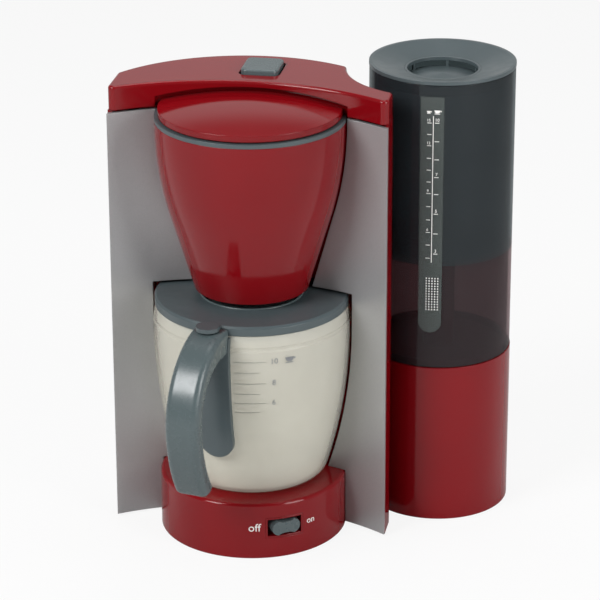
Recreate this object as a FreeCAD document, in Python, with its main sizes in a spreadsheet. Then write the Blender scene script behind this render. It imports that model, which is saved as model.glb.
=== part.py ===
import FreeCAD, Part
import math
import os

import Sketcher

# A toy drip coffee maker: a concave silver front with a niche for the jug, a red crescent
# bridge over a domed filter cup, and a smoked water tank that lifts off a red plinth.
# The frame is +Z up and -Y to the front. The origin is on the floor, on the middle line
# of the front, in the plane of the two front edges.

DOCUMENT = FreeCAD.newDocument("ToyCoffeeMaker")
SHEET = DOCUMENT.addObject("Spreadsheet::Sheet", "Sizes")

# Driving dimensions, all in millimetres or degrees.
DIMENSIONS = (
    ("machine_width", 160.0),
    ("front_arc_radius", 140.0),
    ("back_depth", 75.5),
    ("back_arc_radius", 92.6),
    ("bite_radius", 55.0),
    ("housing_wall", 2.2),
    ("housing_top", 252.5),
    ("panel_thickness", 2.5),
    ("panel_bottom", 1.0),
    ("panel_gap", 1.5),
    ("bridge_height", 14.0),
    ("bridge_wall", 2.2),
    ("bridge_edge_round", 1.6),
    ("lip_depth", 8.0),
    ("lip_wall", 1.8),
    ("fit_gap", 0.15),
    ("brew_axis_y", 12.6),
    ("base_radius", 54.5),
    ("base_height", 34.2),
    ("base_wall", 2.4),
    ("base_edge_round", 2.0),
    ("plate_thickness", 2.6),
    ("niche_gap", 1.4),
    ("liner_wall", 1.4),
    ("niche_drop", 2.8),
    ("niche_rise", 3.2),
    ("opening_gap", 0.8),
    ("jug_radius", 57.0),
    ("belly_drop", 14.0),
    ("jug_foot_radius", 43.9),
    ("jug_foot_height", 39.2),
    ("jug_side_bend", 287.0),
    ("jug_bottom_radius", 38.7),
    ("jug_floor_gap", 0.3),
    ("jug_bottom_bend", 7.0),
    ("jug_rim_radius", 55.6),
    ("jug_headroom", 10.0),
    ("jug_wall", 1.8),
    ("waist_drop", 8.0),
    ("waist_depth", 0.7),
    ("jug_lid_radius", 56.0),
    ("jug_lid_height", 5.4),
    ("jug_lid_wall", 2.0),
    ("dish_radius", 29.0),
    ("dish_depth", 2.0),
    ("drip_hole_radius", 4.0),
    ("lid_skirt_depth", 5.0),
    ("handle_turn", -12.0),
    ("strip_width", 21.0),
    ("strip_thickness", 3.0),
    ("strip_bottom", 62.0),
    ("strip_drop", 0.6),
    ("grip_width", 20.0),
    ("grip_reach", 103.0),
    ("grip_reach_drop", 43.0),
    ("grip_thickness", 11.2),
    ("grip_end_reach", 91.0),
    ("grip_end_inner", 79.0),
    ("grip_end_drop", 83.3),
    ("grip_end_rise", 2.3),
    ("grip_root_reach", 64.0),
    ("grip_root_drop", 11.5),
    ("grip_edge_round", 4.0),
    ("insert_depth", 3.4),
    ("insert_end_drop", 75.0),
    ("hinge_pin_radius", 1.5),
    ("hinge_reach", 61.5),
    ("hinge_rise", 2.6),
    ("thumb_radius", 6.6),
    ("cup_top_radius", 54.2),
    ("cup_rim_height", 249.1),
    ("cup_waist_radius", 46.0),
    ("cup_waist_height", 192.0),
    ("cup_side_bend", 190.0),
    ("cup_bottom_radius", 33.0),
    ("cup_bottom_height", 149.0),
    ("cup_wall", 2.0),
    ("ring_thickness", 2.3),
    ("basket_wall", 1.6),
    ("basket_gap", 0.6),
    ("basket_bottom_height", 176.0),
    ("filter_lid_radius", 52.2),
    ("filter_lid_gap", 0.9),
    ("filter_lid_rim", 3.6),
    ("filter_lid_rise", 4.4),
    ("filter_lid_wall", 2.0),
    ("arch_clearance", 3.0),
    ("dock_depth", 5.3),
    ("dock_clearance", 0.8),
    ("dock_wall", 2.0),
    ("tongue_height", 4.0),
    ("tongue_width", 12.0),
    ("tongue_place", 24.0),
    ("tongue_level", 226.0),
    ("tongue_length", 9.0),
    ("spout_rise", 15.0),
    ("spout_radius", 2.6),
    ("spout_bore", 1.6),
    ("valve_y", 55.0),
    ("valve_radius", 8.0),
    ("valve_bore", 5.2),
    ("valve_height", 26.0),
    ("rod_radius", 1.8),
    ("button_travel", 4.0),
    ("button_width", 21.6),
    ("button_length", 24.6),
    ("button_y", 50.0),
    ("button_stand", 2.9),
    ("button_gap", 1.1),
    ("spring_radius", 4.0),
    ("spring_wire", 0.5),
    ("spring_length", 20.0),
    ("spring_turns", 8.0),
    ("hose_radius", 2.5),
    ("hose_bore", 1.5),
    ("hose_bend", 9.0),
    ("hose_low_level", 20.0),
    ("hose_turn_x", 56.0),
    ("hose_turn_y", 54.0),
    ("hose_rise", 9.8),
    ("hose_riser_x", 41.2),
    ("hose_riser_y", 59.8),
    ("tank_x", 101.2),
    ("tank_y", 69.9),
    ("tank_radius", 42.0),
    ("tank_wall", 1.8),
    ("tank_stand", 0.4),
    ("tank_top", 268.6),
    ("tank_floor", 162.4),
    ("tank_floor_thickness", 1.8),
    ("outlet_radius", 5.0),
    ("outlet_length", 15.0),
    ("window_width", 13.4),
    ("window_depth", 0.5),
    ("window_bottom", 119.0),
    ("window_top", 262.0),
    ("plinth_radius", 42.4),
    ("plinth_height", 97.0),
    ("plinth_wall", 2.2),
    ("spigot_height", 4.0),
    ("column_radius", 9.5),
    ("column_top", 152.0),
    ("neck_y", 56.2),
    ("neck_width", 14.4),
    ("neck_height", 36.0),
    ("tunnel_radius", 5.2),
    ("lid_rim_radius", 42.2),
    ("lid_rim_thickness", 2.0),
    ("lid_rim_gap", 0.3),
    ("lid_opening_radius", 22.0),
    ("lid_dish_depth", 4.6),
    ("lid_skirt", 7.0),
    ("grille_depth", 6.6),
    ("grille_post", 1.5),
    ("switch_turn", 30.3),
    ("switch_level", 18.8),
    ("rocker_length", 18.6),
    ("rocker_height", 8.6),
    ("rocker_waist", 6.6),
    ("rocker_stand", 1.4),
    ("rocker_tilt", 6.0),
    ("bezel_margin", 1.2),
    ("rocker_gap", 0.9),
    ("screw_radius", 1.4),
    ("screw_head_radius", 2.8),
    ("screw_head_height", 1.6),
    ("screw_length", 12.0),
    ("boss_radius", 4.0),
    ("boss_height", 26.0),
)


class Size:
    """A number that remembers the sheet expression behind it."""

    def __init__(self, number, text):
        self.number = number
        self.text = text

    def __add__(self, other):
        return joined(self, "+", other)

    def __radd__(self, other):
        return joined(other, "+", self)

    def __sub__(self, other):
        return joined(self, "-", other)

    def __rsub__(self, other):
        return joined(other, "-", self)

    def __mul__(self, other):
        return joined(self, "*", other)

    def __rmul__(self, other):
        return joined(other, "*", self)

    def __truediv__(self, other):
        return joined(self, "/", other)

    def __neg__(self):
        return joined(0.0, "-", self)


def as_size(value):
    if isinstance(value, Size):
        return value
    return Size(float(value), repr(float(value)))


def joined(first, sign, second):
    a = as_size(first)
    b = as_size(second)
    numbers = {
        "+": a.number + b.number,
        "-": a.number - b.number,
        "*": a.number * b.number,
        "/": a.number / b.number if b.number else 0.0,
    }
    return Size(numbers[sign], "(%s %s %s)" % (a.text, sign, b.text))


def root(value):
    return Size(math.sqrt(value.number), "sqrt(%s)" % value.text)


def sheet_sizes():
    """Fill the sheet and return its cells as sizes by name."""
    sizes = {}
    for row, (name, number) in enumerate(DIMENSIONS, start=1):
        SHEET.set("A%d" % row, name)
        SHEET.set("B%d" % row, str(number))
        SHEET.setAlias("B%d" % row, name)
        sizes[name] = Size(number, "Sizes.%s" % name)
    DOCUMENT.recompute()
    return sizes


class Named:
    """Sizes as plain attributes, such as size.wall."""

    def __init__(self, entries):
        self.__dict__.update(entries)


size = Named(sheet_sizes())

# Places that several pieces share, worked out from the driving dimensions.
half_width = size.machine_width / 2
front_arc_y = -root(size.front_arc_radius * size.front_arc_radius - half_width * half_width)
back_arc_y = size.back_depth - size.back_arc_radius
panel_top = size.housing_top - size.panel_gap
bridge_top = size.housing_top + size.bridge_height
panel_back_radius = size.front_arc_radius + size.panel_thickness
dock_back_radius = size.front_arc_radius + size.dock_depth
filter_back_radius = dock_back_radius - size.dock_clearance
liner_inner = size.jug_radius + size.niche_gap
liner_outer = liner_inner + size.liner_wall
size.niche_top = size.cup_bottom_height - size.niche_drop
size.jug_rim_height = size.cup_bottom_height - size.jug_headroom
size.jug_belly_height = size.jug_rim_height - size.belly_drop
size.waist_height = size.jug_rim_height - size.waist_drop
size.strip_top = size.jug_rim_height - size.strip_drop
size.hinge_level = size.jug_rim_height + size.hinge_rise
size.spout_level = size.cup_bottom_height + size.spout_rise
size.tank_bottom = size.plinth_height + size.tank_stand
liner_top = size.niche_top + size.niche_rise
niche_ceiling = liner_top + size.liner_wall
size.hose_high_level = niche_ceiling + size.hose_rise
jug_bottom = size.base_height + size.jug_floor_gap
ring_top = size.cup_rim_height + size.ring_thickness
filter_lid_bottom = ring_top + size.filter_lid_gap
filter_lid_shoulder = filter_lid_bottom + size.filter_lid_rim
filter_lid_top = filter_lid_shoulder + size.filter_lid_rise
far = 400.0
fit = size.fit_gap


def bind(thing, prop, value):
    """Bind one property of an object to a sheet expression."""
    thing.setExpression(prop, as_size(value).text)


def place(thing, x=0.0, y=0.0, z=0.0):
    bind(thing, "Placement.Base.x", x)
    bind(thing, "Placement.Base.y", y)
    bind(thing, "Placement.Base.z", z)
    return thing


def turn_about_z(thing, angle):
    thing.Placement.Rotation = FreeCAD.Rotation(FreeCAD.Vector(0, 0, 1), as_size(angle).number)
    bind(thing, "Placement.Rotation.Angle", angle)
    return thing


def cylinder(name, radius, bottom, top, x=0.0, y=0.0):
    """An upright cylinder from one height to another."""
    thing = DOCUMENT.addObject("Part::Cylinder", name)
    bind(thing, "Radius", radius)
    bind(thing, "Height", top - bottom)
    return place(thing, x, y, bottom)


def lying_cylinder(name, radius, start, end, x, z):
    """A cylinder along Y from one depth to another."""
    thing = DOCUMENT.addObject("Part::Cylinder", name)
    bind(thing, "Radius", radius)
    bind(thing, "Height", end - start)
    thing.Placement.Rotation = FreeCAD.Rotation(FreeCAD.Vector(1, 0, 0), -90)
    return place(thing, x, start, z)


def cross_cylinder(name, radius, start, end, y, z):
    """A cylinder along X from one side to another."""
    thing = DOCUMENT.addObject("Part::Cylinder", name)
    bind(thing, "Radius", radius)
    bind(thing, "Height", end - start)
    thing.Placement.Rotation = FreeCAD.Rotation(FreeCAD.Vector(0, 1, 0), 90)
    return place(thing, start, y, z)


def block(name, x0, x1, y0, y1, z0, z1):
    thing = DOCUMENT.addObject("Part::Box", name)
    bind(thing, "Length", x1 - x0)
    bind(thing, "Width", y1 - y0)
    bind(thing, "Height", z1 - z0)
    return place(thing, x0, y0, z0)


def sphere(name, radius, x, y, z):
    thing = DOCUMENT.addObject("Part::Sphere", name)
    bind(thing, "Radius", radius)
    return place(thing, x, y, z)


def fused(name, *parts):
    thing = DOCUMENT.addObject("Part::MultiFuse", name)
    thing.Shapes = list(parts)
    return thing


def shared(name, *parts):
    thing = DOCUMENT.addObject("Part::MultiCommon", name)
    thing.Shapes = list(parts)
    return thing


def wrapped(name, thing, angle, x, y, z=0.0):
    """A finished thing turned about the upright axis and moved as a whole."""
    holder = DOCUMENT.addObject("Part::Compound", name)
    holder.Links = [thing]
    turn_about_z(holder, as_size(angle))
    return place(holder, x, y, z)


def minus(name, base, *tools):
    """The base with every tool cut out of it, one after the other."""
    thing = base
    for number, tool in enumerate(tools, start=1):
        last = number == len(tools)
        cut = DOCUMENT.addObject("Part::Cut", name if last else "%sCut%d" % (name, number))
        cut.Base = thing
        cut.Tool = tool
        thing = cut
    return thing


def origin_plane(body, role):
    return next(item for item in body.Origin.OriginFeatures if item.Role == role)


def sketch_on(body, name, role, height=0.0):
    sketch = body.newObject("Sketcher::SketchObject", name)
    sketch.AttachmentSupport = (origin_plane(body, role), [""])
    sketch.MapMode = "FlatFace"
    bind(sketch, "AttachmentOffset.Base.z", height)
    return sketch


def arc_between(here, there, radius, side):
    """The short arc between two points, with its centre on the given side of the way."""
    way = there - here
    middle = (here + there) * 0.5
    left = FreeCAD.Vector(-way.y, way.x, 0) * (1.0 / way.Length)
    reach = math.sqrt(max(radius ** 2 - (way.Length / 2) ** 2, 0.0))
    centre = middle + left * (reach if side == "left" else -reach)
    first = here if side == "left" else there
    last = there if side == "left" else here
    start = math.atan2(first.y - centre.y, first.x - centre.x)
    end = math.atan2(last.y - centre.y, last.x - centre.x)
    if end < start:
        end += 2 * math.pi
    circle = Part.Circle(centre, FreeCAD.Vector(0, 0, 1), radius)
    return Part.ArcOfCircle(circle, start, end)


def trace(sketch, corners):
    """Draw a closed outline whose corners and arc radii are all bound to the sheet.

    A corner is (x, y), or (x, y, radius, side) where the way to the next corner is an arc.
    """
    points = [FreeCAD.Vector(as_size(c[0]).number, as_size(c[1]).number, 0) for c in corners]
    edges = []
    for index, corner in enumerate(corners):
        here = points[index]
        there = points[(index + 1) % len(points)]
        if len(corner) == 2:
            edges.append((sketch.addGeometry(Part.LineSegment(here, there), False), 1, 2))
            continue
        arc = arc_between(here, there, as_size(corner[2]).number, corner[3])
        ends = (1, 2) if corner[3] == "left" else (2, 1)
        edges.append((sketch.addGeometry(arc, False),) + ends)
    constraints = []
    bound = []
    for index, corner in enumerate(corners):
        edge, start, _ = edges[index]
        before, _, end = edges[index - 1]
        constraints.append(Sketcher.Constraint("Coincident", before, end, edge, start))
        for axis, kind, value in ((-2, "DistanceX", corner[0]), (-1, "DistanceY", corner[1])):
            value = as_size(value)
            if value.number == 0.0:
                constraints.append(Sketcher.Constraint("PointOnObject", edge, start, axis))
                continue
            bound.append((len(constraints), value))
            constraints.append(Sketcher.Constraint(kind, -1, 1, edge, start, value.number))
        if len(corner) == 4:
            value = as_size(corner[2])
            bound.append((len(constraints), value))
            constraints.append(Sketcher.Constraint("Radius", edge, value.number))
    sketch.addConstraint(constraints)
    for index, value in bound:
        sketch.setExpression("Constraints[%d]" % index, value.text)


def turned(name, corners, x=0.0, y=None):
    """A body turned about an upright axis from a profile of (radius, height) corners."""
    body = DOCUMENT.addObject("PartDesign::Body", name)
    sketch = sketch_on(body, name + "Profile", "XZ_Plane")
    trace(sketch, corners)
    turn = body.newObject("PartDesign::Revolution", name + "Turn")
    turn.Profile = (sketch, [""])
    turn.ReferenceAxis = (sketch, ["V_Axis"])
    turn.Angle = 360.0
    return place(body, x, size.brew_axis_y if y is None else y)


def plated(name, role, corners, depth, height=0.0):
    """A body padded evenly both ways from a closed outline on an origin plane."""
    body = DOCUMENT.addObject("PartDesign::Body", name)
    sketch = sketch_on(body, name + "Outline", role, height)
    trace(sketch, corners)
    pad = body.newObject("PartDesign::Pad", name + "Pad")
    pad.Profile = (sketch, [""])
    bind(pad, "Length", depth)
    pad.Midplane = True
    return body


def round_edges(body, name, radius, wanted):
    """Round the edges of a body for which wanted(edge) is true."""
    DOCUMENT.recompute()
    base = body.Tip
    chosen = ["Edge%d" % (i + 1) for i, edge in enumerate(base.Shape.Edges) if wanted(edge)]
    fillet = body.newObject("PartDesign::Fillet", name)
    fillet.Base = (base, chosen)
    bind(fillet, "Radius", radius)
    return body


def level_circle(edge, height, radius=None):
    """True for a full circle that lies level at a height, and has the radius if one is given."""
    if edge.Curve.TypeId != "Part::GeomCircle":
        return False
    level = abs(edge.BoundBox.ZMin - height) < 0.01 and abs(edge.BoundBox.ZMax - height) < 0.01
    return level and (radius is None or abs(edge.Curve.Radius - radius) < 0.01)


SUB_PARTS = []


def sub_part(thing, label):
    """Give a finished piece the label that names its file."""
    thing.Label = label
    SUB_PARTS.append(thing)
    return thing


# The plan of the machine: two flat ends, a hollow front arc, a full back arc and a round
# bite beside the tank.

def plan(name, bottom, top, side=0.0, front=0.0, back=0.0):
    """A slab of the machine's plan, set in from its sides, front arc, and back arc and bite."""
    reach = half_width - side
    slab = block(name + "Slab", -reach, reach, -far / 10, far / 2, bottom, top)
    rear = cylinder(name + "Rear", size.back_arc_radius - back, bottom, top, 0.0, back_arc_y)
    hollow = cylinder(name + "Hollow", size.front_arc_radius + front, bottom - 1, top + 1, 0.0, front_arc_y)
    bite = cylinder(name + "Bite", size.bite_radius + back, bottom - 1, top + 1, size.tank_x, size.tank_y)
    return minus(name, shared(name + "Full", slab, rear), hollow, bite)


def front_zone(name, radius, bottom, top):
    """Everything in front of an arc that runs parallel to the hollow front."""
    return cylinder(name, radius, bottom, top, 0.0, front_arc_y)


BOSS_PLACES = (
    (-(half_width - 5.5), size.brew_axis_y + 3.4),
    (half_width - 5.5, size.brew_axis_y),
    (-(half_width - 25.0), size.back_depth - 25.5),
)


def mirrored(right):
    """An outline's right half, with its left half added by mirroring."""
    left = []
    for index in range(len(right) - 1, -1, -1):
        x, z = right[index][0], right[index][1]
        bend = right[index - 1][2:] if index else ()
        left.append((-x, z) + tuple(bend))
    return right + left


def rounded_outline(half_x, half_y, corner):
    """A rectangle with rounded corners, anticlockwise from its lower right corner."""
    return [
        (half_x - corner, -half_y, corner, "left"),
        (half_x, corner - half_y),
        (half_x, half_y - corner, corner, "left"),
        (half_x - corner, half_y),
        (corner - half_x, half_y, corner, "left"),
        (-half_x, half_y - corner),
        (-half_x, corner - half_y, corner, "left"),
        (corner - half_x, -half_y),
    ]


def rounded_block(name, half_x, half_y, corner, bottom, top, x=0.0, y=0.0):
    """An upright block with rounded vertical corners."""
    body = plated(name, "XY_Plane", rounded_outline(half_x, half_y, corner), top - bottom, (top + bottom) / 2)
    return place(body, x, y)


# The hole in the silver front: the cup's outline above, then the jug's, then the base's.
front_opening = plated("FrontOpening", "XZ_Plane", mirrored([
    (size.cup_top_radius + size.opening_gap, panel_top + 20),
    (size.cup_top_radius + size.opening_gap, size.cup_rim_height, size.cup_side_bend, "right"),
    (size.cup_waist_radius + size.opening_gap, size.cup_waist_height),
    (size.cup_bottom_radius + size.opening_gap, size.niche_top),
    (liner_inner, size.niche_top),
    (liner_inner, size.jug_belly_height, size.jug_side_bend, "right"),
    (size.jug_foot_radius + size.niche_gap, size.jug_foot_height),
    (size.jug_foot_radius + size.niche_gap - 1.6, size.base_height),
    (size.base_radius + fit, size.base_height),
    (size.base_radius + fit, as_size(-20.0)),
]), as_size(far))

# The rear housing: back wall, end walls and bite wall in one open shell with screw bosses.
hose_tunnel = cross_cylinder(
    "HoseTunnel", size.tunnel_radius, size.hose_riser_x + 1.0, size.tank_x - 34.0, size.neck_y,
    size.hose_low_level)
housing_shell = minus(
    "HousingShell",
    plan("HousingOuter", 0.0, size.housing_top, 0.0, size.panel_thickness, 0.0),
    plan("HousingInner", -1.0, size.housing_top + 1, size.housing_wall, -20.0, size.housing_wall))
housing_posts = []
hose_relief = cylinder(
    "HoseRelief", size.hose_radius + 0.8, size.hose_low_level - 6.0, size.hose_low_level + 8.0,
    size.hose_riser_x + 2.2, size.hose_riser_y - 0.6)
housing_holes = [hose_tunnel, hose_relief]
tab_top = size.housing_top - size.lip_depth - 1.0
for number, (x, y) in enumerate(BOSS_PLACES, start=1):
    housing_posts.append(
        cylinder("HousingBoss%d" % number, size.boss_radius, size.plate_thickness, size.boss_height, x, y))
    housing_posts.append(
        cylinder("HousingTab%d" % number, size.boss_radius + 0.6, tab_top - 3.0, tab_top, x, y))
    housing_holes.append(
        cylinder("HousingPilot%d" % number, size.screw_radius, 0.0, size.boss_height - 4.0, x, y))
    housing_holes.append(
        cylinder("HousingTabHole%d" % number, size.screw_radius, tab_top - 4.0, tab_top + 1, x, y))
rear_housing = sub_part(
    minus("RearHousing", fused("HousingBody", housing_shell, *housing_posts), *housing_holes), "rear_housing")

# The silver front: two curved sheets on the hollow front arc, one each side of the opening.
left_half = block(
    "LeftHalf", as_size(-far / 4), as_size(0.0), as_size(-20.0), as_size(30.0), as_size(0.0), size.housing_top)
left_panel = sub_part(minus(
    "LeftPanel",
    shared("LeftBlank", plan("PanelOuter", size.panel_bottom, panel_top), left_half),
    front_opening,
    plan("PanelBack", size.panel_bottom - 1, panel_top + 1, -1.0, size.panel_thickness, -1.0)), "left_panel")
right_panel = DOCUMENT.addObject("Part::Mirroring", "RightPanel")
right_panel.Source = left_panel
right_panel.Normal = FreeCAD.Vector(1, 0, 0)
sub_part(right_panel, "right_panel")


# The bridge: a crescent cover with a domed hollow for the filter lid and a slot for the button.
def dome(name, radius, rise, bottom, top, edge):
    """A cylinder closed by a shallow ball cap, the cap reaching the edge radius at top - rise."""
    ball = (edge * edge + rise * rise) / (2 * rise)
    stem = cylinder(name + "Stem", radius, bottom, top + 1)
    place(stem, 0.0, size.brew_axis_y, bottom)
    cap = sphere(name + "Ball", ball, 0.0, size.brew_axis_y, top - ball)
    return shared(name, stem, cap)


def arch_hollow(name, extra):
    """The space that the bridge leaves over the filter lid, or the same grown by a wall."""
    clear = size.arch_clearance + extra
    full = dome(name + "Dome", size.filter_lid_radius + clear, size.filter_lid_rise,
                size.housing_top - 30, filter_lid_top + clear, size.filter_lid_radius)
    return shared(name, full, front_zone(name + "Zone", dock_back_radius + extra - 0.3,
                                         size.housing_top - 40, bridge_top + 1))


bridge_block = plan("BridgeBlock", size.housing_top, bridge_top)
DOCUMENT.recompute()


def bridge_edge_radius(edge):
    """The rounding of one edge of the bridge block, or nothing."""
    box = edge.BoundBox
    if box.ZMin > bridge_top.number - 0.01:
        return size.bridge_edge_round.number
    upright = box.ZLength > size.bridge_height.number - 0.01 and box.XLength + box.YLength < 0.01
    return 2 * size.bridge_edge_round.number if upright else None


bridge_round = DOCUMENT.addObject("Part::Fillet", "BridgeRound")
bridge_round.Base = bridge_block
bridge_round.Edges = [
    (number, bridge_edge_radius(edge), bridge_edge_radius(edge))
    for number, edge in enumerate(bridge_block.Shape.Edges, start=1) if bridge_edge_radius(edge)]
ceiling = bridge_top - size.bridge_wall
bridge_hollow = minus(
    "BridgeHollow",
    plan("BridgeInner", size.housing_top - 1, ceiling, size.bridge_wall, size.bridge_wall, size.bridge_wall),
    arch_hollow("ArchShell", size.bridge_wall))
slot_half_x = size.button_width / 2 + size.button_gap
slot_half_y = size.button_length / 2 + size.button_gap
collar_bottom = ceiling - 3.0
button_collar = rounded_block(
    "ButtonCollar", slot_half_x + 1.6, slot_half_y + 1.6, as_size(5.6), collar_bottom, ceiling + 0.5,
    0.0, size.button_y)
lip_inset = size.bridge_wall + fit
lip_front = size.panel_thickness + size.bridge_wall
lip_bottom = size.housing_top - size.lip_depth


def lip_ring(name, inset, bottom, top):
    inner = lip_inset + size.lip_wall
    return minus(
        name,
        plan(name + "Outer", bottom, top, inset, lip_front, inset),
        plan(name + "Inner", bottom - 1, top + 1, inner, -20.0, inner),
        cylinder(name + "Dock", as_size(64.0), bottom - 1, top + 1, 0.0, size.brew_axis_y - 22))


bridge_bosses = []
bridge_holes = [
    arch_hollow("ArchHollow", 0.0),
    rounded_block("ButtonSlot", slot_half_x, slot_half_y, as_size(4.0), collar_bottom - 1, bridge_top + 1,
                  0.0, size.button_y)]
for number, (x, y) in enumerate(BOSS_PLACES, start=1):
    bridge_bosses.append(cylinder("BridgeBoss%d" % number, size.boss_radius, tab_top, ceiling + 0.5, x, y))
    bridge_holes.append(
        cylinder("BridgePilot%d" % number, size.screw_radius, tab_top - 1, tab_top + size.screw_length - 2, x, y))
top_bridge = sub_part(minus(
    "TopBridge",
    fused("BridgeBody", minus("BridgeShell", bridge_round, bridge_hollow), button_collar,
          lip_ring("LipRoot", size.bridge_wall - 0.5, size.housing_top, size.housing_top + 3),
          lip_ring("Lip", lip_inset, lip_bottom, size.housing_top),
          shared("BridgePosts", fused("BridgeBosses", *bridge_bosses),
                 plan("PostPlan", tab_top - 1, bridge_top, lip_inset, -20.0, lip_inset))),
    *bridge_holes), "top_bridge")

# The niche liner: the wall, ceiling and floor rim behind the jug.
liner_bottom = size.base_height - 2.0
liner_solid = cylinder("LinerSolid", liner_outer, liner_bottom, niche_ceiling, 0.0, size.brew_axis_y)
liner_hollow = cylinder("LinerHollow", liner_inner, size.base_height, liner_top, 0.0, size.brew_axis_y)
cup_notch = shared(
    "CupNotch", front_opening,
    front_zone("CupNotchZone", dock_back_radius, size.niche_top + fit, niche_ceiling + 1))
liner_foot = cylinder("LinerFoot", size.base_radius + fit, liner_bottom - 1, size.base_height + 1,
                      0.0, size.brew_axis_y)
liner_plan = plan("LinerPlan", liner_bottom - 1, niche_ceiling + 1, size.housing_wall,
                  size.panel_thickness, size.housing_wall)
niche_liner = sub_part(shared(
    "NicheLiner", minus("LinerShell", liner_solid, liner_hollow, liner_foot, cup_notch), liner_plan), "niche_liner")

# The filter dock: a curved plate behind the front with a pocket in the outline of the cup.
dock_half = size.cup_top_radius + 7.0
dock_plate = shared(
    "DockPlate",
    minus("DockArc", front_zone("DockFront", dock_back_radius + size.dock_wall, niche_ceiling, size.housing_top),
          front_zone("DockBack", panel_back_radius, niche_ceiling - 1, size.housing_top + 1)),
    block("DockWidth", -dock_half, dock_half, as_size(-20.0), size.back_depth, niche_ceiling, size.housing_top))
dock_pocket = shared(
    "DockPocket", front_opening,
    front_zone("DockPocketZone", dock_back_radius, niche_ceiling - 1, size.housing_top + 1))
tongue_half = size.tongue_width / 2


def tongues(name, grow):
    """The two tongues of the filter cup, or the slots for them when grown by a clearance."""
    pair = []
    for number, side in enumerate((-1, 1), start=1):
        middle = side * size.tongue_place
        pair.append(block(
            "%s%d" % (name, number), middle - tongue_half - grow, middle + tongue_half + grow,
            size.brew_axis_y + 8.0, size.brew_axis_y + 19.0 + size.tongue_length + grow,
            size.tongue_level - size.tongue_height / 2 - grow, size.tongue_level + size.tongue_height / 2 + grow))
    return pair


filter_dock = sub_part(minus(
    "FilterDock", dock_plate, dock_pocket,
    lying_cylinder("DockSpoutHole", size.spout_radius, size.brew_axis_y, size.valve_y, 0.0, size.spout_level),
    *tongues("DockSlot", as_size(0.4))), "filter_dock")

# The round base under the jug, with a pocket for the switch.
base_body = turned("BaseBody", [
    (size.base_radius, 0.0),
    (size.base_radius, size.base_height),
    (0.0, size.base_height),
    (0.0, size.base_height - size.base_wall),
    (size.base_radius - size.base_wall, size.base_height - size.base_wall),
    (size.base_radius - size.base_wall, 0.0),
])
round_edges(base_body, "BaseEdge", size.base_edge_round, lambda edge: level_circle(
    edge, size.base_height.number, size.base_radius.number))


def around(x, y, reach, angles):
    """Places on a circle about a centre, one for each angle in degrees."""
    return [(x + reach * math.cos(math.radians(a)), y + reach * math.sin(math.radians(a))) for a in angles]


COVER_SCREWS = around(as_size(0.0), size.brew_axis_y, size.base_radius - 14.0, (90, 210, 350))
PLINTH_SCREWS = around(size.tank_x, size.tank_y, size.plinth_radius - 8.0, (90, 330, 250))
switch_half_x = size.rocker_length / 2 + size.rocker_gap + size.bezel_margin
switch_half_z = size.rocker_height / 2 + size.rocker_gap + size.bezel_margin
bezel_back = size.base_radius - 10.0
base_under = size.base_height - size.base_wall


def at_switch(thing):
    """Turn a piece made at the middle of the front round to the switch."""
    turn_about_z(thing, size.switch_turn)
    return place(thing, 0.0, size.brew_axis_y)


switch_pocket = at_switch(plated(
    "SwitchPocket", "XZ_Plane", mirrored([
        (switch_half_x, size.switch_level - switch_half_z),
        (switch_half_x, size.switch_level + switch_half_z),
    ]), size.base_radius * 2 - 2 * bezel_back, size.base_radius))
base_posts = [
    cylinder("CoverBoss%d" % n, size.boss_radius, size.plate_thickness, base_under + 0.5, x, y)
    for n, (x, y) in enumerate(COVER_SCREWS, start=1)]
base_pilots = [
    cylinder("CoverPilot%d" % n, size.screw_radius, 0.0, size.boss_height - 4.0, x, y)
    for n, (x, y) in enumerate(COVER_SCREWS, start=1)]
jug_base = sub_part(minus(
    "JugBase", fused("BaseSolid", base_body, *base_posts), switch_pocket, *base_pilots), "jug_base")


head_level = 0.2


def screw_holes(name, places):
    """Clearance holes and head recesses through a bottom plate."""
    holes = []
    for number, (x, y) in enumerate(places, start=1):
        holes.append(cylinder("%sHole%d" % (name, number), size.screw_radius + fit, as_size(-1.0),
                              size.plate_thickness + 1, x, y))
        holes.append(cylinder("%sRecess%d" % (name, number), size.screw_head_radius + fit, as_size(-1.0),
                              head_level + size.screw_head_height, x, y))
    return holes


def screws(name, places, head_bottom=head_level):
    """Pan head screws that stand on their heads, one for each place."""
    bottom = as_size(head_bottom)
    solids = []
    for number, (x, y) in enumerate(places, start=1):
        head = cylinder("%sHead%d" % (name, number), size.screw_head_radius, bottom,
                        bottom + size.screw_head_height, x, y)
        shank = cylinder("%sShank%d" % (name, number), size.screw_radius, bottom,
                         bottom + size.screw_head_height + size.screw_length - 2, x, y)
        cross = block("%sSlot%d" % (name, number), x - 1.8, x + 1.8, y - 0.4, y + 0.4, bottom - 1, bottom + 0.7)
        solids.append(minus("%s%d" % (name, number), fused("%sBlank%d" % (name, number), head, shank), cross))
    group = DOCUMENT.addObject("Part::Compound", name)
    group.Links = solids
    return group


base_plate = sub_part(minus(
    "BasePlate",
    plan("BasePlatePlan", 0.0, size.plate_thickness, size.housing_wall + fit, size.panel_thickness + fit,
         size.housing_wall + fit),
    cylinder("BasePlateRing", size.base_radius + fit, as_size(-1.0), size.plate_thickness + 1,
             0.0, size.brew_axis_y),
    *screw_holes("BasePlate", BOSS_PLACES)), "base_plate")
base_cover = sub_part(minus(
    "BaseCover",
    cylinder("BaseCoverDisc", size.base_radius - size.base_wall - fit, as_size(0.0), size.plate_thickness,
             0.0, size.brew_axis_y),
    *screw_holes("BaseCover", COVER_SCREWS)), "base_cover")
sub_part(screws("BaseScrews", tuple(BOSS_PLACES) + tuple(COVER_SCREWS) + tuple(PLINTH_SCREWS)), "base_screws")
sub_part(screws("BridgeScrews", BOSS_PLACES, tab_top - 3.0 - size.screw_head_height), "bridge_screws")


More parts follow.
